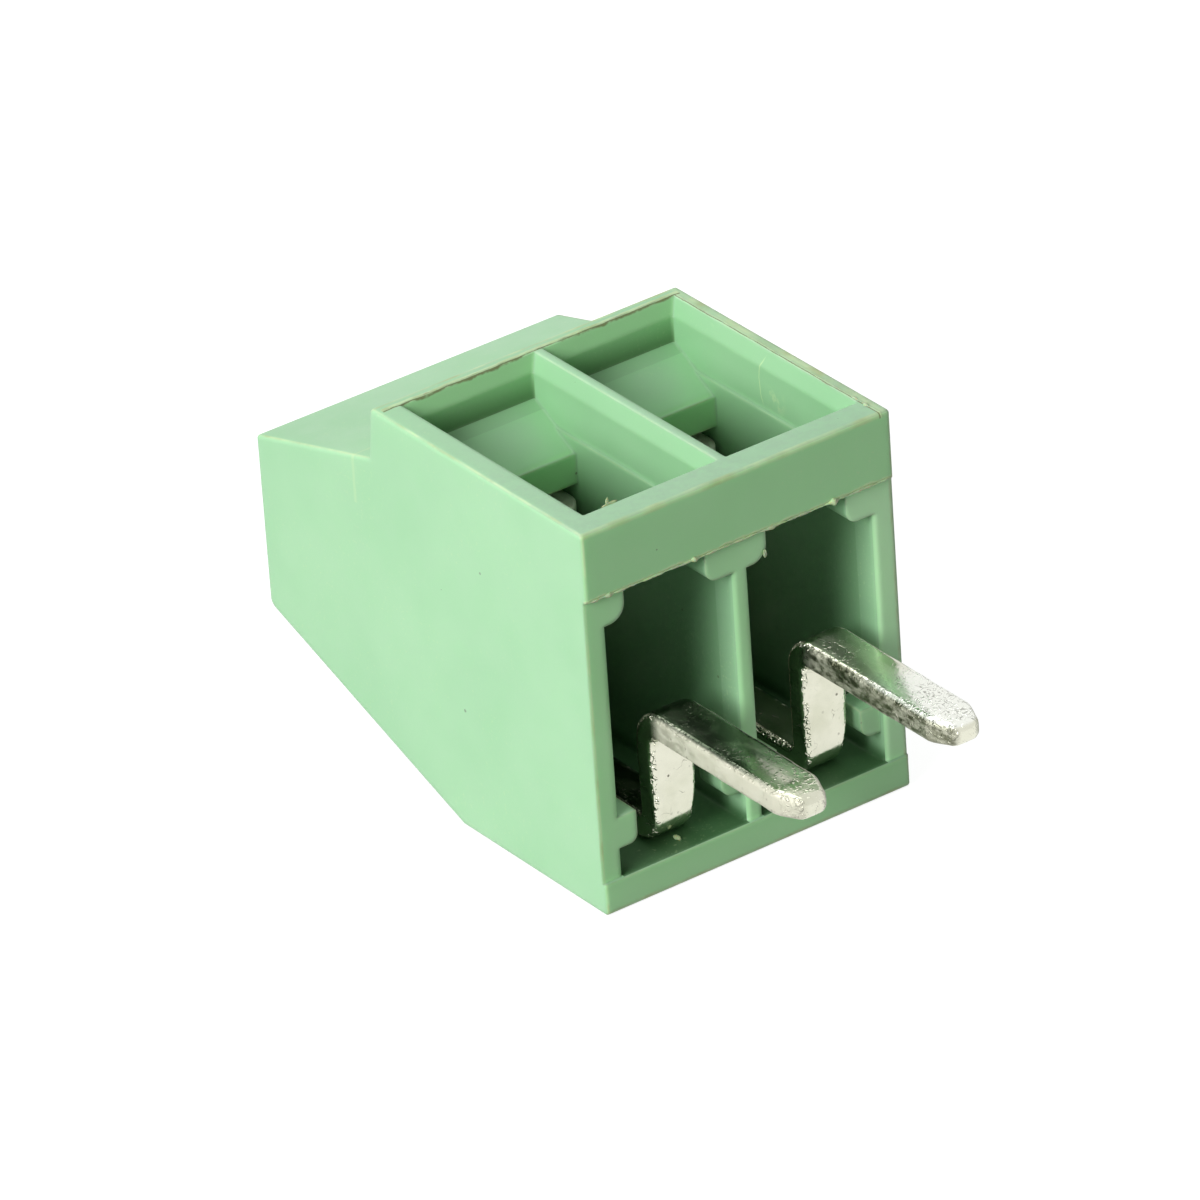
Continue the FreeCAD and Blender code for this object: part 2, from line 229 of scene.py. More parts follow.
class HousingFinish(Finish):
    # The housing's plastic. Each method lays its tones, painted shade and light among them, over the colour so
    # far and gives the result.
    def __init__(self):
        super().__init__("housingPlastic", Subsurface_Weight=0.15, Subsurface_Scale=0.00035, IOR=1.49)
        self.set("Subsurface Radius", (0.6, 1.0, 0.6))
        look, parts = housingLook, ("X", "Y", "Z")
        self.x, self.y, self.z = self.node("ShaderNodeSeparateXYZ", {}, {0: self.place()}, parts)
        self.flat = self.node("ShaderNodeNewGeometry", output="Normal")
        facingX, self.facingY, self.facingZ = self.node("ShaderNodeSeparateXYZ", {}, {0: self.flat}, parts)
        self.facesLeft = self.remap(facingX, -0.3, -0.9)
        self.facesBoard = self.remap(self.facingY, -0.3, -0.9)
        self.aside = self.x.calc("ABSOLUTE")
        self.below = look["topDepth"] - self.z
        self.onTop = self.below < 0.02
        self.inWindow = (self.aside < look["windowHalf"]) * (self.y > look["windowNear"])
        self.inWindow = self.inWindow * (self.y < look["windowFar"]) * (self.below > 0.015)
        self.greyCloud = self.remap(self.noise(self.place(5.0), 4.0, 0.7), 0.35, 0.65, 0.6, 1.0)
        self.sway = (self.noise(self.place(1.7), 4.0, 0.6) - 0.5) * 0.10
        warm = self.remap(self.noise(self.place(1.6, shift=(9, 0, 2)), 3.0), 0.42, 0.68)
        self.edgeColour = self.blend(warm, look["cream"], look["olive"])

    def faceTones(self):
        # Soft clouds, painted shade as a fresher green on what faces the board, and a greyer top, more so near
        # the board.
        look, y = housingLook, self.y
        cloud = self.remap(self.noise(self.place(0.45), 2.0), 0.3, 0.7)
        colour = self.blend(cloud * look["cloudMix"], look["green"], look["deepGreen"])
        colour = self.blend(self.facesBoard, colour, look["frontGreen"])
        # Painted light on the front's set-back ends and nibs, more so to the right. The front's foot is paler
        # too.
        front = self.remap(self.facingY, -0.5, -0.95)
        near, far = look["setBackY"]
        setBack = front * (y > near) * (y < far) * self.remap(self.x, *look["setBackX"], 0.25, 1.0)
        colour = self.blend(setBack, colour, look["paleFront"])
        foot = front * self.remap(self.z, *look["footZ"])
        colour = self.blend(foot * look["footMix"], colour, look["paleFront"])
        greyTop = self.onTop * self.greyCloud * self.remap(y, *look["greyTopY"], 0.25, 0.9)
        return self.blend(greyTop, colour, look["greyGreen"])

    def windowTones(self, colour):
        # Painted shade: window walls are a little deeper, more so where they face left, and the far walls
        # darken downwards.
        look = housingLook
        tone = self.inWindow * (look["windowMix"] + self.facesLeft * look["leftWallMix"])
        colour = self.blend(tone, colour, look["windowShade"])
        farWall = self.inWindow * self.facesBoard * (self.y > look["farWallNear"])
        farWall = farWall * self.remap(self.z, *look["farWallDark"], 0.15, 0.85)
        return self.blend(farWall, colour, look["farShade"])

    def cellTones(self, colour):
        # Painted shade in the cells. What a mouth shows lies below its plane and is dark from just behind the
        # mouth. What the windows show lies above it and gets dark with depth only, the ledge's lip further
        # down than the rest.
        look, y, z = housingLook, self.y, self.z
        fromPole = (self.aside - look["poleAside"]).calc("ABSOLUTE")
        inCell = (fromPole < look["cellHalf"]) * (y < look["cellFar"]) * (y > look["cellNear"])
        inCell = inCell * (z > look["cellFloor"] - 0.03)
        lip = self.remap(self.facingY, -0.2, -0.8) * self.line(y, look["lipLine"], 0.12, 0.16)
        lip = lip * (self.aside < look["lipHalf"])
        plane = look["mouthPlane"]
        underMouth = self.remap(z + y * look["mouthSlope"], plane + look["mouthFade"], plane)
        start, full = look["windowFade"]
        underWindow = self.remap(z + lip * look["lipLess"], look["cellTop"] - start, look["cellTop"] - full)
        wayIn = (y > look["wallNear"]) * self.remap(y, *look["mouthY"]).calc("POWER", 0.7)
        wayIn = wayIn * (look["cellMix"] + self.facesLeft * look["leftCellMix"])
        colour = self.blend(inCell * underMouth.calc("MAXIMUM", underWindow) * wayIn, colour, look["shade"])
        # Painted shade on the cell floor from the mouth in, and on the ledge's lip towards its lower edge.
        high, low = look["floorRiseZ"]
        onFloor = inCell * self.remap(z, look["cellFloor"] + high, look["cellFloor"] + low)
        onFloor = onFloor * self.remap(y, *look["floorY"])
        colour = self.blend(onFloor * look["floorMix"], colour, look["floorShade"])
        return self.blend(lip * self.remap(z, *look["lipDark"]) * look["lipMix"], colour, look["shade"])

    def ledgeTones(self, colour):
        # A window's ledge gets painted shade to its left, towards the wall, and a painted patch of light right
        # of its middle.
        look = housingLook
        ledge = self.inWindow * (self.y > look["ledgeNear"]) * self.remap(self.facingZ, 0.5, 0.8)
        fromMiddle = self.x - 2 * look["poleAside"] * (self.x > 0.0) + look["poleAside"]
        shaded = ledge * self.remap(fromMiddle, *look["ledgeX"], 0.0, look["ledgeMix"])
        colour = self.blend(shaded, colour, look["farShade"])
        across, along = look["palePatchAt"]
        pale = ledge * self.line(fromMiddle, across, 0.1, 0.6) * self.line(self.y, along, 0.1, 0.4)
        return self.blend(pale * look["palePatchMix"], colour, look["greyGreen"])

    def edgeTones(self, colour):
        # Crevices get painted shade, and sharp outward edges a cream painted highlight. Sharp outward edges
        # are where a wide bevel's normal turns away from the face's own and little lies in front.
        look = housingLook
        wide = self.node("ShaderNodeBevel", {"samples": 6}, {"Radius": look["creamRadius"] * mm})
        dotProduct = {"operation": "DOT_PRODUCT"}
        facing = self.node("ShaderNodeVectorMath", dotProduct, {0: wide, 1: self.flat}, "Value")
        reach = {"Distance": look["creviceReach"] * mm}
        openness = self.node("ShaderNodeAmbientOcclusion", {"samples": 4, "only_local": True}, reach, "AO")
        crevice = self.remap(openness, 0.62, 0.40)
        colour = self.blend(crevice * look["creviceMix"], colour, look["floorShade"])
        edge = self.remap(facing, 0.98, 0.84) * self.remap(openness, 0.75, 0.95) * look["bevelEdge"]
        # Painted highlights on rounded outer edges: lines along both sides, along the front's top and foot and
        # along the step, and the rim on the right.
        drift = (self.noise(self.place(1.3, shift=(3, 3, 3)), 4.0, 0.6) - 0.5) * 0.05
        deep, near = self.below.calc("ABSOLUTE"), self.y.calc("ABSOLUTE")
        fromStep = (look["stepLine"] - self.y).calc("ABSOLUTE")
        sides = self.line(self.aside, look["halfWidth"] - look["sideWidth"][1], *look["sideWidth"])
        sides = sides * look["sideEdge"]
        frontTop = self.remap(near + deep + drift, *look["edgeFade"]) * look["frontEdge"]
        frontFoot = self.remap(near + self.z.calc("ABSOLUTE") + drift, *look["edgeFade"])
        step = self.remap(fromStep + deep + drift, *look["edgeFade"])
        rightRim = self.remap(self.x, *look["rimX"]) * self.onTop
        for rounded in (sides, frontTop, frontFoot, step, rightRim):
            edge = edge.calc("MAXIMUM", rounded)
        wander = self.remap(self.noise(self.place(2.4), 3.0), 0.35, 0.62, 0.35, 1.0)
        return self.blend(edge * wander * look["edgeMix"], colour, self.edgeColour)

    def mouldLines(self, colour):
        # Parting line of the window insert on the wire face: a brown thread with cream beside it, across the
        # face and down its right side.
        look, y, z = housingLook, self.y, self.z
        across, down = y + self.sway, self.x + self.sway * 0.5
        onFace = (self.below < 0.08) * (self.aside < look["lineHalf"])
        beside = (y < look["farLine"]) * (self.x > 0.0)
        sideBand = self.line(down, look["sideLine"] + look["bandBeyondSide"], *look["sideBandWidth"])
        sideBand = sideBand * beside * look["sideBand"]
        band = self.line(across, look["farLine"] + look["bandBeyondFar"], *look["bandWidth"])
        band = band.calc("MAXIMUM", sideBand) * onFace
        sideThread = self.line(down, look["sideLine"], *look["sideThreadWidth"]) * beside
        thread = self.line(across, look["farLine"], *look["threadWidth"]).calc("MAXIMUM", sideThread) * onFace
        breaks = self.remap(self.noise(self.place(3.1, shift=(4, 0, 0)), 3.0), 0.28, 0.44)
        colour = self.blend(band * look["bandMix"], colour, self.edgeColour)
        colour = self.blend(thread * breaks * look["threadMix"], colour, look["brown"])
        # Flash along the lower edge of the front band, and the faint joint across the shoulder.
        lumps = (self.noise(self.place(2.9, shift=(0, 3, 0)), 4.0, 0.6) - 0.5) * 0.16
        flash = self.line(z + lumps, look["cellTop"] + look["flashRise"], *look["flashWidth"]) * (y < 0.04)
        joint = self.line(y + self.sway * 0.5, look["jointLine"], *look["jointWidth"]) * (z > 4.5)
        joint = joint * look["jointMix"]
        self.raised = band + flash
        return self.blend(flash.calc("MAXIMUM", joint) * look["flashMix"], colour, look["cream"])

    def marks(self, colour):
        # A hair-like scratch on the wall of the second window: a parabola in y over z, with a pale smudge
        # beside it.
        look, y, z = housingLook, self.y, self.z
        hairY, hairZ = look["hairAt"]
        fromHair = z - hairZ
        bent = y + fromHair * fromHair * look["hairBend"] + self.sway
        hair = self.line(bent, hairY, *look["hairWidth"]) * self.line(z, hairZ, *look["hairLength"])
        hair = hair * look["hairMix"]
        smudgeY, smudgeZ = look["smudgeAt"]
        smudge = self.line(y, smudgeY, *look["smudgeWide"]) * self.line(z, smudgeZ, *look["smudgeHigh"])
        smudge = smudge * self.remap(self.greyCloud, 0.75, 0.95) * look["smudgeMix"]
        scratched = hair.calc("MAXIMUM", smudge) * (self.x > look["scratchedSide"]) * self.inWindow
        colour = self.blend(scratched, colour, look["cream"])
        # Chalky dust: fine pale grain in patches, less of it in the windows.
        dust = self.remap(self.noise(self.place(18.0, shift=(0, 6, 0)), 2.0), 0.60, 0.72)
        patch = self.remap(self.noise(self.place(0.8, shift=(5, 5, 0)), 2.0), 0.40, 0.65, 0.15, 1.0)
        dust = dust * patch * (look["dustMix"] - self.inWindow * look["windowDustLess"])
        colour = self.blend(dust, colour, look["cream"])
        # Specks: few and dark, in two sizes.
        kinds = look["speckKinds"]
        large, small = (self.specks(self.place(scale, shift=shift), *rest) for scale, shift, *rest in kinds)
        return self.blend(large.calc("MAXIMUM", small) * look["speckMix"], colour, look["speck"])

    def relief(self):
        # Soft waves and fine grain over the rounded edges, and the cream band and the flash slightly raised.
        look = housingLook
        soft = self.node("ShaderNodeBevel", {"samples": 8}, {"Radius": look["edgeRadius"] * mm})
        under = self.bump(self.noise(self.place(0.9), 2.0), 0.3, look["waveDepth"] * mm, soft)
        under = self.bump(self.noise(self.place(14.0), 4.0, 0.65), 0.35, look["grainDepth"] * mm, under)
        return self.bump(self.raised, 0.5, look["flashDepth"] * mm, under)


def makeHousingPlastic():
    # Tones for whole faces come first, then the painted shade of hollows and the painted highlights of edges,
    # and marks last.
    finish = HousingFinish()
    colour = finish.windowTones(finish.faceTones())
    colour = finish.ledgeTones(finish.cellTones(colour))
    colour = finish.mouldLines(finish.edgeTones(colour))
    finish.set("Base Color", finish.marks(colour))
    cloud = finish.noise(finish.place(1.4), 3.0)
    finish.set("Roughness", finish.remap(cloud, 0.3, 0.7, *housingLook["roughness"]))
    finish.set("Normal", finish.relief())
    return finish.material


tinLook = {
    "bright": rgb(222, 222, 204), "dull": rgb(210, 211, 190), "speck": (0.09, 0.09, 0.06, 1.0),
    "metallic": 1.0, "roughness": 0.13, "speckSize": 0.22, "speckShare": 0.80, "edgeRadius": 0.0,
    "cut": rgb(214, 212, 192), "stain": rgb(98, 101, 78), "greenReflection": rgb(62, 76, 56), "bare": rgb(246, 248, 240),
    # Where along y the flecks, the cut sides' wear, the painted green reflection and the bare stretch fade in.
    "fleckFade": (-0.7, -2.0), "cutFade": (0.30, 0.0), "greenReflectionFade": (-2.9, -1.5), "bareFade": (-1.0, -1.7),
}
nickelLook = {
    "bright": rgb(244, 242, 230), "dull": rgb(216, 212, 194), "speck": (0.12, 0.11, 0.09, 1.0),
    "metallic": 0.30, "roughness": 0.36, "speckSize": 0.12, "speckShare": 0.90, "edgeRadius": 0.09,
}
zincLook = {
    "bright": rgb(206, 212, 218), "dull": rgb(176, 182, 190), "speck": evenGrey(0.14),
    "metallic": 1.0, "roughness": 0.30, "speckSize": 0.12, "speckShare": 0.92, "edgeRadius": 0.0,
}
platingLook = {
    "speckMix": 0.8, "scratchMix": 0.5, "barePinMix": 0.9, "wormMix": 0.6,
    "dentDepth": 0.012, "rollDepth": 0.006, "fleckDepth": 0.012, "pitDepth": 0.010,
}


class PlatingFinish(Finish):
    # Metal in soft clouds with dark pits, short scratches, rolling marks drawn along y and flecks in patches.
    def __init__(self, name, look):
        super().__init__(name, Metallic=look["metallic"])
        cloud = self.remap(self.noise(self.place(1.6), 3.0, 0.5), 0.35, 0.65)
        self.colour = self.blend(cloud, look["bright"], look["dull"])
        self.patch = self.remap(self.noise(self.place(1.3, shift=(2, 5, 0)), 2.0), 0.42, 0.60)
        self.speck = self.specks(self.place(7.5), look["speckSize"], look["speckShare"], True)
        self.speck = self.speck * (0.25 + self.patch * 0.75)
        self.layOver(self.speck * platingLook["speckMix"], look["speck"])
        # A scratch follows a level line of a stretched noise; a second noise picks where it shows.
        self.wander = self.noise(self.place(3.4, (1, 0.6, 1), (0, 0, 0.35)), 2.0, 0.5, 0.6)
        shows = self.remap(self.noise(self.place(5.2, shift=(1, 1, 6)), 1.0), 0.58, 0.66)
        self.scratch = self.line(self.wander, 0.5, 0.002, 0.008) * shows
        self.layOver(self.scratch * platingLook["scratchMix"], look["speck"])
        self.rub = self.noise(self.place(7.0, (1, 0.18, 1)), 5.0, 0.65)
        self.rough = self.remap(self.rub, 0.3, 0.7, look["roughness"] - 0.06, look["roughness"] + 0.12)
        self.rough = self.rough + (self.speck + self.scratch) * 0.25
        self.nick, self.tipward = 0.0, 1.0

    def layOver(self, factor, colour):
        self.colour = self.blend(factor, self.colour, colour)

    def wearStrip(self, look):
        # Marks of the contact strips. Their cut sides, whose normal lies along x, are torn, duller and
        # rougher, and the second contact's are stained.
        flat = self.node("ShaderNodeNewGeometry", output="Normal")
        across, upward = self.node("ShaderNodeSeparateXYZ", {}, {0: flat}, ("X", "Z"))
        x, y = self.node("ShaderNodeSeparateXYZ", {}, {0: self.place()}, ("X", "Y"))
        sideways, first = across.calc("ABSOLUTE"), x < 0.0
        self.tipward = self.remap(y, *look["fleckFade"], 0.25, 1.0)
        cut = self.remap(sideways, 0.20, 0.70) * self.remap(y, *look["cutFade"])
        torn = self.remap(self.noise(self.place(9.0, (1, 0.5, 1)), 4.0, 0.7), 0.35, 0.65)
        self.layOver(cut * (torn * 0.62 + 0.33), self.blend(first, look["stain"], look["cut"]))
        self.rough = self.rough + cut * (0.42 - torn * 0.22)
        self.set("Metallic", 1.0 - cut * (0.30 + first * 0.55 - torn * 0.25))
        # Painted reflection of the green housing on top of the first pin, fainter towards its tip.
        greenReflection = first * self.remap(upward, 0.6, 0.9) * self.remap(y, *look["greenReflectionFade"])
        self.layOver(greenReflection * self.remap(self.wander, 0.3, 0.6, 0.7, 0.95), look["greenReflection"])
        # The top of the second pin's outer half is bare, with fine worm-like cracks.
        bare = (1.0 - first) * self.remap(upward, 0.5, 0.9) * self.remap(y, *look["bareFade"])
        worm = self.line(self.noise(self.place(7.0), 1.0, 0.5, 1.5), 0.5, 0.008, 0.030)
        worm = worm * self.remap(self.noise(self.place(3.0, shift=(6, 1, 2)), 1.0), 0.40, 0.52)
        worm = bare * worm * platingLook["wormMix"]
        self.layOver(bare * platingLook["barePinMix"], look["bare"])
        self.layOver(worm, look["speck"])
        self.speck = self.speck.calc("MAXIMUM", worm)
        # Nicks on the round between the strip's face and its cut side.
        bent = self.remap(sideways, 0.15, 0.35) * self.remap(sideways, 0.98, 0.85)
        self.nick = bent * self.remap(self.noise(self.place(11.0), 2.0), 0.48, 0.60)

    def relief(self, edgeRadius):
        # Dents, rolling marks, raised flecks and nicks, sunk pits and scratches, over rounded edges if any.
        look, soft = platingLook, None
        if edgeRadius:
            soft = self.node("ShaderNodeBevel", {"samples": 6}, {"Radius": edgeRadius * mm})
        under = self.bump(self.noise(self.place(3.2), 3.0, 0.5), 0.35, look["dentDepth"] * mm, soft)
        under = self.bump(self.rub, 0.45, look["rollDepth"] * mm, under)
        flecks = self.remap(self.noise(self.place(16.0), 2.0, 0.5), 0.56, 0.70)
        flecks = flecks * (0.1 + self.patch * 0.9) * self.tipward
        under = self.bump(flecks + self.nick * 1.5, 0.9, look["fleckDepth"] * mm, under)
        return self.bump(self.speck + self.scratch, -0.6, look["pitDepth"] * mm, under)


def makePlating(name, look, sheared=False):
    finish = PlatingFinish(name, look)
    if sheared:
        finish.wearStrip(look)
    finish.set("Base Color", finish.colour)
    finish.set("Roughness", finish.rough)
    finish.set("Normal", finish.relief(look["edgeRadius"]))
    return finish.material


plastic = makeHousingPlastic()
tin = makePlating("tinPlate", tinLook, sheared=True)
nickel = makePlating("sleeveNickel", nickelLook)
zinc = makePlating("screwZinc", zincLook)
materialOf = {"housing": plastic, "contact": tin, "clamp_sleeve": nickel, "clamp_screw": zinc}
for name, node in nodes.items():
    for kind, material in materialOf.items():
        if name.startswith(kind):
            node.data.materials.clear()
            node.data.materials.append(material)
print("finishes made")


def makeMesh(name, *grids):
    # Each grid[row, column] holds points in millimetres. Rows run along the piece and columns round it, quads
    # join neighbours, and the first and last rows are closed by one flat face each. The volume under a grid's
    # quads tells which way its faces point, and they are turned round where it is negative.
    points, faces, first = [], [], 0
    for grid in grids:
        rows, columns = grid.shape[:2]
        spots = grid.reshape(-1, 3) * mm
        index = np.arange(rows * columns).reshape(rows, columns)
        after = np.roll(index, -1, axis=1)
        quads = np.stack((index[:-1], after[:-1], after[1:], index[1:]), axis=-1).reshape(-1, 4)
        a, b, c, d = (spots[quads[:, corner]] for corner in range(4))
        volume = np.einsum("ij,ij->", a, np.cross(b, c)) + np.einsum("ij,ij->", a, np.cross(c, d))
        way = -1 if volume < 0 else 1
        faces += (quads[:, ::way] + first).tolist()
        faces += [(end[::way] + first).tolist() for end in (index[0, ::-1], index[-1])]
        points.append(spots)
        first += len(spots)
    mesh = bpy.data.meshes.new(name)
    mesh.from_pydata(np.concatenate(points), [], faces)
    mesh.update()
    return mesh


def addPiece(name, mesh, material, body, sharpAngle=32.0):
    mesh.shade_smooth()
    mesh.set_sharp_from_angle(angle=math.radians(sharpAngle))
    mesh.materials.append(material)
    piece = bpy.data.objects.new(name, mesh)
    bpy.context.scene.collection.objects.link(piece)
    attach(piece, body)
    return piece


def poleX(pole):
    return (pole - 1.5) * 2 * housingLook["poleAside"]


contactLook = {
    "thickness": 0.42, "width": 0.79, "cornerRound": 0.11, "endRound": 0.04,
    "barHeight": 3.85, "barEnd": 4.40, "back": 0.52, "jogHeight": 0.28, "pinUnder": 2.38, "reach": 3.15,
    "barBend": 0.40, "footBend": 0.10, "pinBend": 0.12,
    "taper": 0.50, "tipWidth": 0.48, "tipThickness": 0.34, "tipRound": 0.13, "tipThinning": 0.8,
    # Each contact's shift across the poles and off the back, and the rise of its pin.
    "play": {1: (0.05, 0.0, 0.0), 2: (0.27, 0.02, 0.10)},
    "footWorn": 0.28, "footAt": (0.55, 0.30), "footSpread": (0.16, 0.30),
    "waver": 0.006, "waverBeats": (3.1, 7.7), "step": 0.035,
}


def bentPath(corners, radii, step):
    # Straight runs and round bends: each corner is replaced by the arc of its radius that touches both of its
    # runs. Gives points (y, z), unit tangents and distances along the path.
    corners = np.array(corners, float)
    points, start = [corners[:1]], corners[0]
    for corner, radius, before, after in zip(corners[1:-1], radii, corners[:-2], corners[2:]):
        into = (corner - before) / np.linalg.norm(corner - before)
        out = (after - corner) / np.linalg.norm(after - corner)
        sweep = math.acos(float(np.clip(into @ out, -1, 1)))
        reach = radius * math.tan(sweep / 2)
        first = corner - into * reach
        run = np.linalg.norm(first - start)
        along = np.linspace(0, 1, max(2, int(run / step)), endpoint=False)[1:, None]
        side = out - into * (into @ out)
        side = side / np.linalg.norm(side)
        angle = np.linspace(0, sweep, max(6, int(radius * sweep / step * 2)))[:, None]
        arc = first + into * radius * np.sin(angle) + side * radius * (1 - np.cos(angle))
        points += [start + (first - start) * along, arc]
        start = corner + out * reach
    run = np.linalg.norm(corners[-1] - start)
    points.append(start + (corners[-1] - start) * np.linspace(0, 1, int(run / step))[1:, None])
    points = np.concatenate(points)
    tangents = np.gradient(points, axis=0)
    tangents = tangents / np.linalg.norm(tangents, axis=1)[:, None]
    distance = np.concatenate(([0], np.cumsum(np.linalg.norm(np.diff(points, axis=0), axis=1))))
    return points, tangents, distance


def roundedSection(halfWide, halfThick, radius, perCorner=7):
    # A rectangle with a quarter circle at each corner, for every row at once: the corner's centre is its
    # radius inside both sides, and the arc runs round it from one side to the next.
    signs = np.array(((1, -1), (1, 1), (-1, 1), (-1, -1)), float)
    starts = np.array((-0.5, 0.0, 0.5, 1.0)) * math.pi
    turn = np.linspace(0, math.pi / 2, perCorner)
    halfWide, halfThick, radius = halfWide[:, None], halfThick[:, None], radius[:, None]
    across, through = [], []
    for (signWide, signThick), start in zip(signs, starts):
        across.append(signWide * (halfWide - radius) + radius * np.cos(start + turn))
        through.append(signThick * (halfThick - radius) + radius * np.sin(start + turn))
    return np.concatenate(across, axis=1), np.concatenate(through, axis=1)


def quarterPull(gap, radius):
    # How far a side draws in at a distance from the strip's end, for an end rounded with a quarter circle.
    inside = 1 - np.clip(gap / radius, 0, 1)
    return radius * (1 - np.sqrt(np.clip(1 - inside ** 2, 0, 1)))


def makeContact(pole):
    # One strip: its rounded section is carried along the bent path in the (y, z) plane, gets narrower and
    # thinner over the pin's last stretch, and both ends draw in along a quarter circle.
    look = contactLook
    across, offBack, pinRise = look["play"][pole]
    half = look["thickness"] / 2
    back, under = look["back"] + offBack, look["pinUnder"] + offBack + pinRise
    bar, jog = look["barHeight"] + half, look["jogHeight"] + half
    corners = (
        (bar, look["barEnd"] + offBack), (bar, back + half), (jog, back + half), (jog, under + half),
        (-look["reach"], under + half),
    )
    radii = (look["barBend"] + half, look["footBend"] + half, look["pinBend"] + half)
    path, tangent, distance = bentPath(corners, radii, look["step"])
    left = distance[-1] - distance
    ease = np.clip(1 - left / look["taper"], 0, 1)
    ease = ease * 0.5 + ease ** 2 * (3 - 2 * ease) * 0.5
    wide = look["width"] / 2 + (look["tipWidth"] - look["width"]) / 2 * ease
    thick = half + (look["tipThickness"] / 2 - half) * ease
    tipPull, barPull = quarterPull(left, look["tipRound"]), quarterPull(distance, look["endRound"])
    wide = wide - tipPull - barPull
    thick = thick - tipPull * look["tipThinning"] - barPull
    # The width wavers by the product of two sine waves, but not at the tip.
    slow, quick = look["waverBeats"]
    beat = np.sin(distance * slow + pole) * np.sin(distance * quick + 2 * pole)
    wide = wide + look["waver"] * beat * (1 - ease)
    u, v = roundedSection(wide, thick, np.minimum(look["cornerRound"], np.minimum(wide, thick) * 0.9))
    # The foot's outer bend is worn down on its right side, by a bell curve round one place in (y, z).
    (footY, footZ), (spreadY, spreadZ) = look["footAt"], look["footSpread"]
    atFoot = np.exp(-((path[:, 0] - footY) / spreadY) ** 2 - ((path[:, 1] - back - footZ) / spreadZ) ** 2)
    u = np.where(u > 0, u * (1 - look["footWorn"] * atFoot[:, None]), u)
    normal = np.stack((-tangent[:, 1], tangent[:, 0]), axis=1)
    y = path[:, 0][:, None] + v * normal[:, 0][:, None]
    z = path[:, 1][:, None] + v * normal[:, 1][:, None]
    x = poleX(pole) + across + u
    mesh = makeMesh("contactStrip" + str(pole), np.stack((x, y, z), axis=-1))
    piece = addPiece("contactStrip" + str(pole), mesh, tin, "terminal_body")
    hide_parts("contact_" + str(pole))


screwLook = {
    "axisDepth": 3.17, "shank": 1.60, "threadDepth": 0.19, "threadPitch": 0.35, "threadFlat": 0.14,
    "tip": 1.00, "tipHeight": 4.30, "tipTaper": 0.22, "tipEdge": 0.03, "tipFade": 0.30, "headFade": 0.25,
    "runOut": 0.01, "intoHead": 0.02, "rings": 176, "sides": 64,
    "head": 2.00, "headHeight": 0.85, "headSeat": 6.92, "headEdge": 0.10, "slices": 41,
    "slotWidth": 0.34, "slotDepth": 0.38, "slotBevel": 0.02, "slotClear": 0.03, "slotSlices": 7,
    "floorEdge": 0.004, "edgeSteps": 6, "chordSteps": 15,
}


def threadedShank(centreX):
    # A turned surface whose radius follows a ridge that climbs one pitch a turn. The thread fades out at both
    # ends, and the tip's edge is broken.
    look = screwLook
    low, seat, flat = look["tipHeight"], look["headSeat"], look["threadFlat"]
    shank, tip = look["shank"] / 2, look["tip"] / 2
    rows = np.linspace(low, seat + look["intoHead"], look["rings"])[:, None]
    turn = np.linspace(0, 2 * math.pi, look["sides"], endpoint=False)[None, :]
    phase = (rows - low) / look["threadPitch"] - turn / (2 * math.pi)
    groove = np.abs(phase - np.floor(phase) - 0.5) * 2
    groove = np.clip((groove - flat) / (1 - 2 * flat), 0, 1)
    fade = np.clip((rows - low) / look["tipFade"], 0, 1) * np.clip((seat - rows) / look["headFade"], 0, 1)
    outer = np.minimum(shank, tip + (rows - low) / look["tipTaper"] * (shank - tip))
    radius = outer - look["threadDepth"] * groove * fade - look["runOut"] * (1 - fade)
    radius[0] = radius[0] - look["tipEdge"]
    spread = np.concatenate((radius[:1] * 0.5, radius), axis=0)
    height = np.concatenate((rows[:1], rows), axis=0) + 0 * turn
    x, z = centreX + spread * np.sin(turn), look["axisDepth"] + spread * np.cos(turn)
    return np.stack((x, height, z), axis=-1)


def slottedHead(centreX):
    # Upright slices side by side across the slot, each a chord of the disc wide, with the rim's round at its
    # upper corners. The slices inside the slot end at its floor, and the slot's upper edges are bevelled.
    look = screwLook
    seat, top = look["headSeat"], look["headSeat"] + look["headHeight"]
    rim, edge, half, bevel = look["head"] / 2, look["headEdge"], look["slotWidth"] / 2, look["slotBevel"]
    outside = rim * np.sin(np.linspace(-0.5, 0.5, look["slices"]) * math.pi * 0.998)
    before, after = outside[outside < -half - look["slotClear"]], outside[outside > half + look["slotClear"]]
    between = np.linspace(-half, half, look["slotSlices"])
    places = np.concatenate((before, (-half - bevel, -half), between, (half, half + bevel), after))
    fromMiddle = np.arange(len(places)) - (len(places) - 1) / 2
    inSlot = np.abs(fromMiddle) <= (len(between) - 1) / 2
    aside = np.abs(places)
    atWall = ~inSlot & (aside <= half)
    chord = np.sqrt(np.maximum(rim ** 2 - places ** 2, 0))[:, None]
    intoRound = np.clip(edge - rim + aside, 0, edge)
    shoulder = top - edge + np.sqrt(edge ** 2 - intoRound ** 2)
    crest = np.where(inSlot, top - look["slotDepth"], np.minimum(top - bevel * atWall, shoulder))[:, None]
    bend = np.linspace(0, math.pi / 2, look["edgeSteps"])
    roundness = np.where(inSlot[:, None], look["floorEdge"], np.minimum(edge, chord * 0.9))
    rise = np.minimum(roundness, (crest - seat) * 0.9)
    right = chord - roundness * (1 - np.cos(bend))
    upper = crest - rise * (1 - np.sin(bend))
    middle = (chord - roundness) * np.linspace(1, -1, look["chordSteps"])[1:-1]
    foot = np.full_like(chord, seat)
    u = np.concatenate((chord, right, middle, -right[:, ::-1], -chord), axis=1)
    v = np.concatenate((foot, upper, crest + 0 * middle, upper[:, ::-1], foot), axis=1)
    return np.stack((centreX + u, v, look["axisDepth"] + places[:, None] + 0 * u), axis=-1)


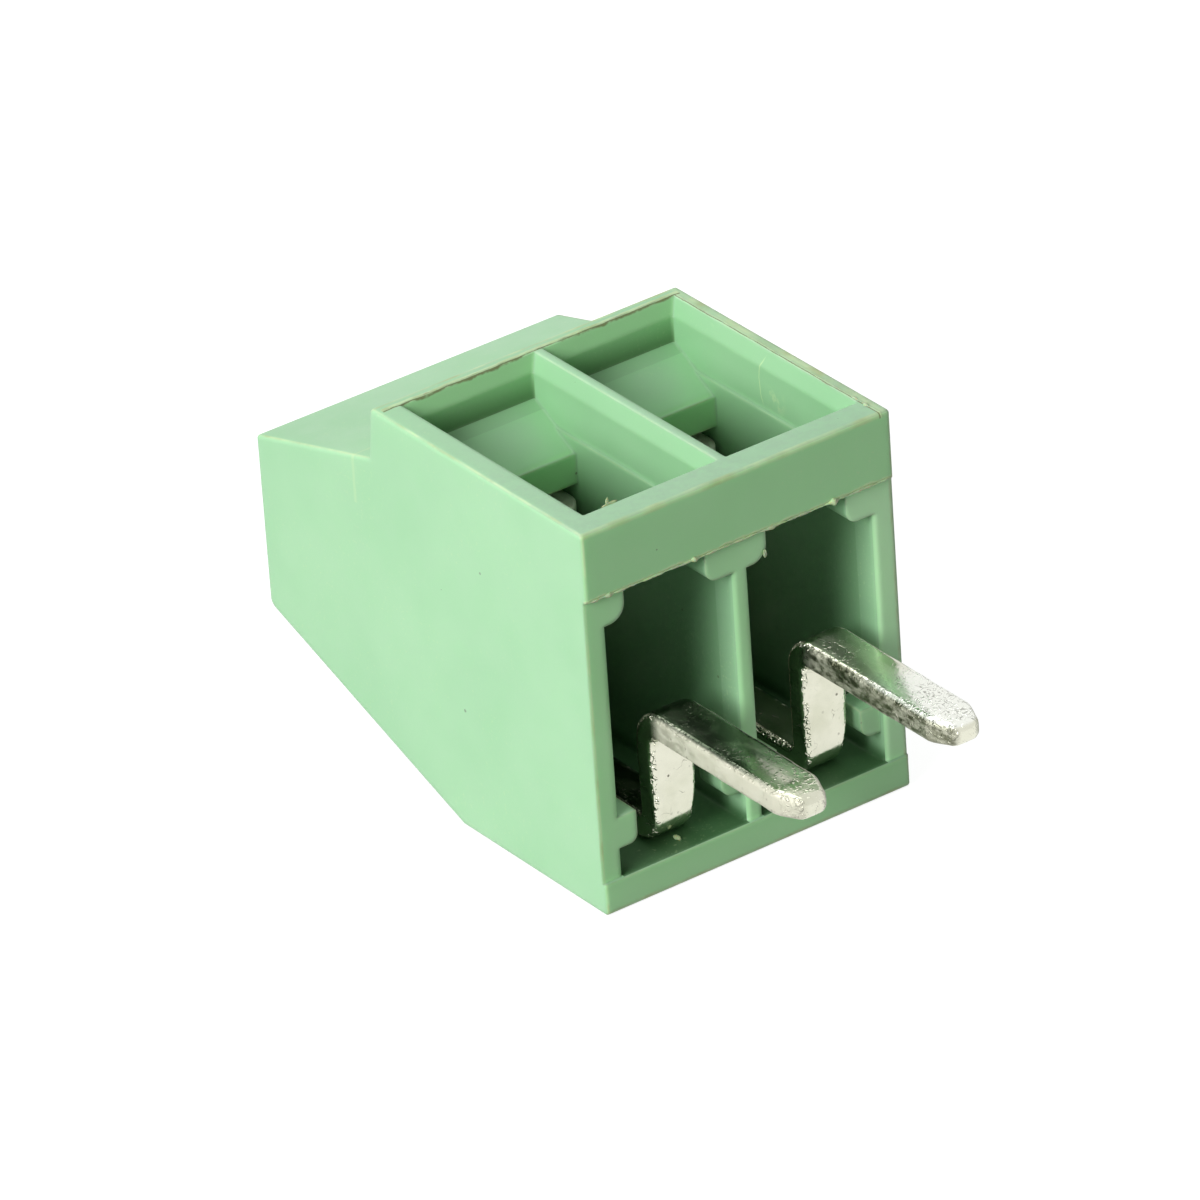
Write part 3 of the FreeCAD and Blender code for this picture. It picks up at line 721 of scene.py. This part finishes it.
def makeScrew(pole):
    mesh = makeMesh("clampScrew" + str(pole), threadedShank(poleX(pole)), slottedHead(poleX(pole)))
    piece = addPiece("clampScrew" + str(pole), mesh, zinc, "screw_" + str(pole), 40.0)
    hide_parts("clamp_screw_" + str(pole))


for pole in (1, 2):
    makeContact(pole)
    makeScrew(pole)
print("contacts and screws made")


flashLook = {
    "colour": rgb(196, 220, 166), "stone": rgb(176, 190, 156),
    # Threads of flash: ends, size, and for each lump its place along the thread and its height.
    "threads": {
        "band": {
            "from": (-2.73, -0.004, 5.180), "to": (2.73, -0.004, 5.180), "size": 0.018,
            "lumps": ((-0.83, 0.040), (1.68, 0.046), (-2.35, 0.030), (0.55, 0.020)),
        },
        "far": {
            "from": (-2.70, 4.975, 6.278), "to": (2.58, 4.975, 6.278), "size": 0.010,
            "lumps": ((-1.9, 0.014), (0.9, 0.016)),
        },
        "side": {
            "from": (2.600, 0.12, 6.276), "to": (2.600, 4.95, 6.276), "size": 0.007,
            "lumps": ((0.35, 0.030), (0.62, 0.024), (1.1, 0.014)),
        },
    },
    "lumpSpread": 0.05, "threadStep": 0.025, "threadSides": 10, "thinnest": 0.002,
    "swayAside": 0.006, "swayUp": 0.004,
    # Burrs: name, centre and half sizes. All have as many rings and sides, and lumps of two kinds.
    "rings": 18, "sides": 28, "lobes": (0.22, 0.15),
    "burrs": (
        ("windowBurr", (-1.86, 0.530, 6.262), (0.13, 0.020, 0.030)),
        ("windowBarb", (-1.90, 0.538, 6.290), (0.026, 0.016, 0.075)),
        ("nibBurr", (0.445, 0.050, 4.77), (0.026, 0.018, 0.060)),
        ("cornerBurr", (2.63, 0.07, 6.235), (0.050, 0.045, 0.040)),
        ("floorScrap", (-1.20, 0.36, 0.545), (0.045, 0.060, 0.035)),
    ),
}


def wobble(place, seed):
    # Three sine waves of unlike lengths, between -1 and 1.
    slow, quick = np.sin(place * 5.3 + seed) * 0.5, np.sin(place * 12.1 + 2.3 * seed) * 0.3
    return slow + quick + np.sin(place * 29.7 + 0.7 * seed) * 0.2


def makeThread(name, values, material, seed):
    # A thread of flash: a tube along a line whose radius wobbles and swells at the lumps, a bell curve each,
    # and shrinks at both ends.
    look = flashLook
    start, end = np.array(values["from"]), np.array(values["to"])
    length = np.linalg.norm(end - start)
    axis = 0 if abs(end[0] - start[0]) > 1 else 1
    along = np.linspace(0, 1, int(length / look["threadStep"]))[:, None]
    line = start + (end - start) * along
    place = line[:, axis]
    radius = values["size"] * (0.75 + 0.55 * wobble(place * 2.2, seed))
    for centre, height in values["lumps"]:
        radius = radius + height * np.exp(-((place - centre) / look["lumpSpread"]) ** 2)
    fromEnd = np.minimum(along[:, 0], 1 - along[:, 0])
    radius = np.maximum(radius, look["thinnest"]) * np.minimum(1, fromEnd * 40 + 0.1)
    turn = np.linspace(0, 2 * math.pi, look["threadSides"], endpoint=False)
    grid = np.repeat(line[:, None, :], len(turn), axis=1)
    aside = look["swayAside"] * wobble(place * 3.1, seed + 2)[:, None]
    up = look["swayUp"] * wobble(place * 2.3, seed + 5)[:, None]
    grid[:, :, 1 - axis] += radius[:, None] * np.cos(turn) + aside
    grid[:, :, 2] += radius[:, None] * np.sin(turn) + up
    addPiece(name, makeMesh(name, grid), material, "terminal_body", 60.0)


def makeBurr(name, centre, size, material, seed):
    # A lumpy ball: an ellipsoid whose radius wobbles with both angles.
    look = flashLook
    polar = np.linspace(0.06, math.pi - 0.06, look["rings"])[:, None]
    turn = np.linspace(0, 2 * math.pi, look["sides"], endpoint=False)[None, :]
    broad, small = look["lobes"]
    radius = 1 + broad * np.sin(2 * turn + seed) * np.sin(polar)
    radius = radius + small * np.sin(3 * polar + seed) * np.cos(3 * turn)
    ball = (np.sin(polar) * np.cos(turn), np.sin(polar) * np.sin(turn), np.cos(polar) + 0 * turn)
    grid = np.array(centre) + np.stack(ball, axis=-1) * radius[:, :, None] * np.array(size)
    addPiece(name, makeMesh(name, grid), material, "terminal_body", 80.0)


def makeFlashPlastic():
    finish = Finish("flashPlastic", Subsurface_Weight=0.3, Subsurface_Scale=0.0002, IOR=1.49)
    tone = finish.remap(finish.noise(finish.place(3.0), 3.0), 0.35, 0.65)
    finish.set("Base Color", finish.blend(tone, flashLook["colour"], flashLook["stone"]))
    finish.set("Roughness", 0.45)
    finish.set("Normal", finish.bump(finish.noise(finish.place(14.0), 2.0), 0.4, 0.006 * mm))
    return finish.material


flashPlastic = makeFlashPlastic()
for seed, (part, values) in enumerate(flashLook["threads"].items()):
    makeThread(part + "Flash", values, flashPlastic, seed + 1)
for seed, (burrName, centre, size) in enumerate(flashLook["burrs"]):
    makeBurr(burrName, centre, size, flashPlastic, seed)
print("flash and burrs made")


viewSetup = {
    "camera": (-86.723, -122.643, 88.890),
    "forward": (0.493285, 0.718403, -0.490476),
    "right": (0.802914, -0.592965, -0.061007),
    "up": (0.334663, 0.363716, 0.869317),
    "lens": 360.27,
    "key": {"from": (-132, -30, 72), "size": 80, "power": 0.93},
    "top": {"from": (-10, 90, 150), "size": 170, "power": 0.44},
    "lampsAimAt": (0, 2.5, 3.0), "skyLight": 0.18,
    "floorHalf": 400, "floorDrop": 0.01, "floorGrey": 0.32, "floorGlow": 0.88,
}
rayKinds = ("Is Camera Ray", "Is Glossy Ray", "Is Transmission Ray")


def makeCamera():
    # A camera looks along its own -z.
    setup = viewSetup
    camera = bpy.data.cameras.new("photoCamera")
    camera.lens, camera.sensor_width = setup["lens"], 36.0
    camera.clip_start, camera.clip_end = 0.01, 10.0
    holder = bpy.data.objects.new("photoCamera", camera)
    bpy.context.scene.collection.objects.link(holder)
    turn = Matrix((setup["right"], setup["up"], [-part for part in setup["forward"]])).transposed()
    holder.matrix_world = Matrix.Translation(Vector(setup["camera"]) * mm) @ turn.to_4x4()
    bpy.context.scene.camera = holder


def makeLamp(name, values):
    # A round lamp whose power grows with the square of its distance, so that moving it keeps its light.
    lamp = bpy.data.lights.new(name, "AREA")
    lamp.shape, lamp.size = "DISK", values["size"] * mm
    spot = Vector(values["from"])
    lamp.energy = values["power"] * math.pi ** 2 * (spot.length * mm) ** 2
    holder = bpy.data.objects.new(name, lamp)
    bpy.context.scene.collection.objects.link(holder)
    aim = Vector(viewSetup["lampsAimAt"]) - spot
    holder.matrix_world = Matrix.Translation(spot * mm) @ aim.to_track_quat("-Z", "Y").to_matrix().to_4x4()


def makeSky():
    # Grey light for the object, white where the camera or a reflection looks past it.
    world = bpy.data.worlds.new("studio")
    bpy.context.scene.world = world
    world.use_nodes = True
    sky = Tree(world.node_tree)
    camera, glossy, clear = sky.node("ShaderNodeLightPath", output=rayKinds)
    seen = (camera + glossy).calc("MAXIMUM", clear)
    grey = sky.node("ShaderNodeBackground", {}, {"Color": evenGrey(1.0), "Strength": viewSetup["skyLight"]})
    white = sky.node("ShaderNodeBackground", {}, {"Color": evenGrey(1.0)})
    mixed = sky.node("ShaderNodeMixShader", {}, {0: seen, 1: grey, 2: white})
    sky.node("ShaderNodeOutputWorld", {}, {"Surface": mixed})


def makeFloor():
    # White paper: it glows where the camera or a reflection sees it, and gives the object only a grey bounce.
    setup = viewSetup
    half, low = setup["floorHalf"] * mm, -setup["floorDrop"] * mm
    corners = [(-half, -half, low), (half, -half, low), (half, half, low), (-half, half, low)]
    mesh = bpy.data.meshes.new("floor")
    mesh.from_pydata(corners, [], [(0, 1, 2, 3)])
    floor = bpy.data.objects.new("floor", mesh)
    bpy.context.scene.collection.objects.link(floor)
    finish = Finish("floorPaper", Roughness=0.9, Specular_IOR_Level=0.0)
    finish.set("Base Color", evenGrey(setup["floorGrey"]))
    camera, glossy, clear = finish.node("ShaderNodeLightPath", output=rayKinds)
    glow = finish.blend(camera + glossy + clear, evenGrey(0.0), evenGrey(setup["floorGlow"]))
    finish.set("Emission Strength", 1.0)
    finish.set("Emission Color", glow)
    mesh.materials.append(finish.material)


makeCamera()
makeSky()
makeFloor()
for lampName in ("key", "top"):
    makeLamp(lampName, viewSetup[lampName])
bpy.context.scene.view_settings.view_transform = "Standard"
print("camera, lamps and floor placed")
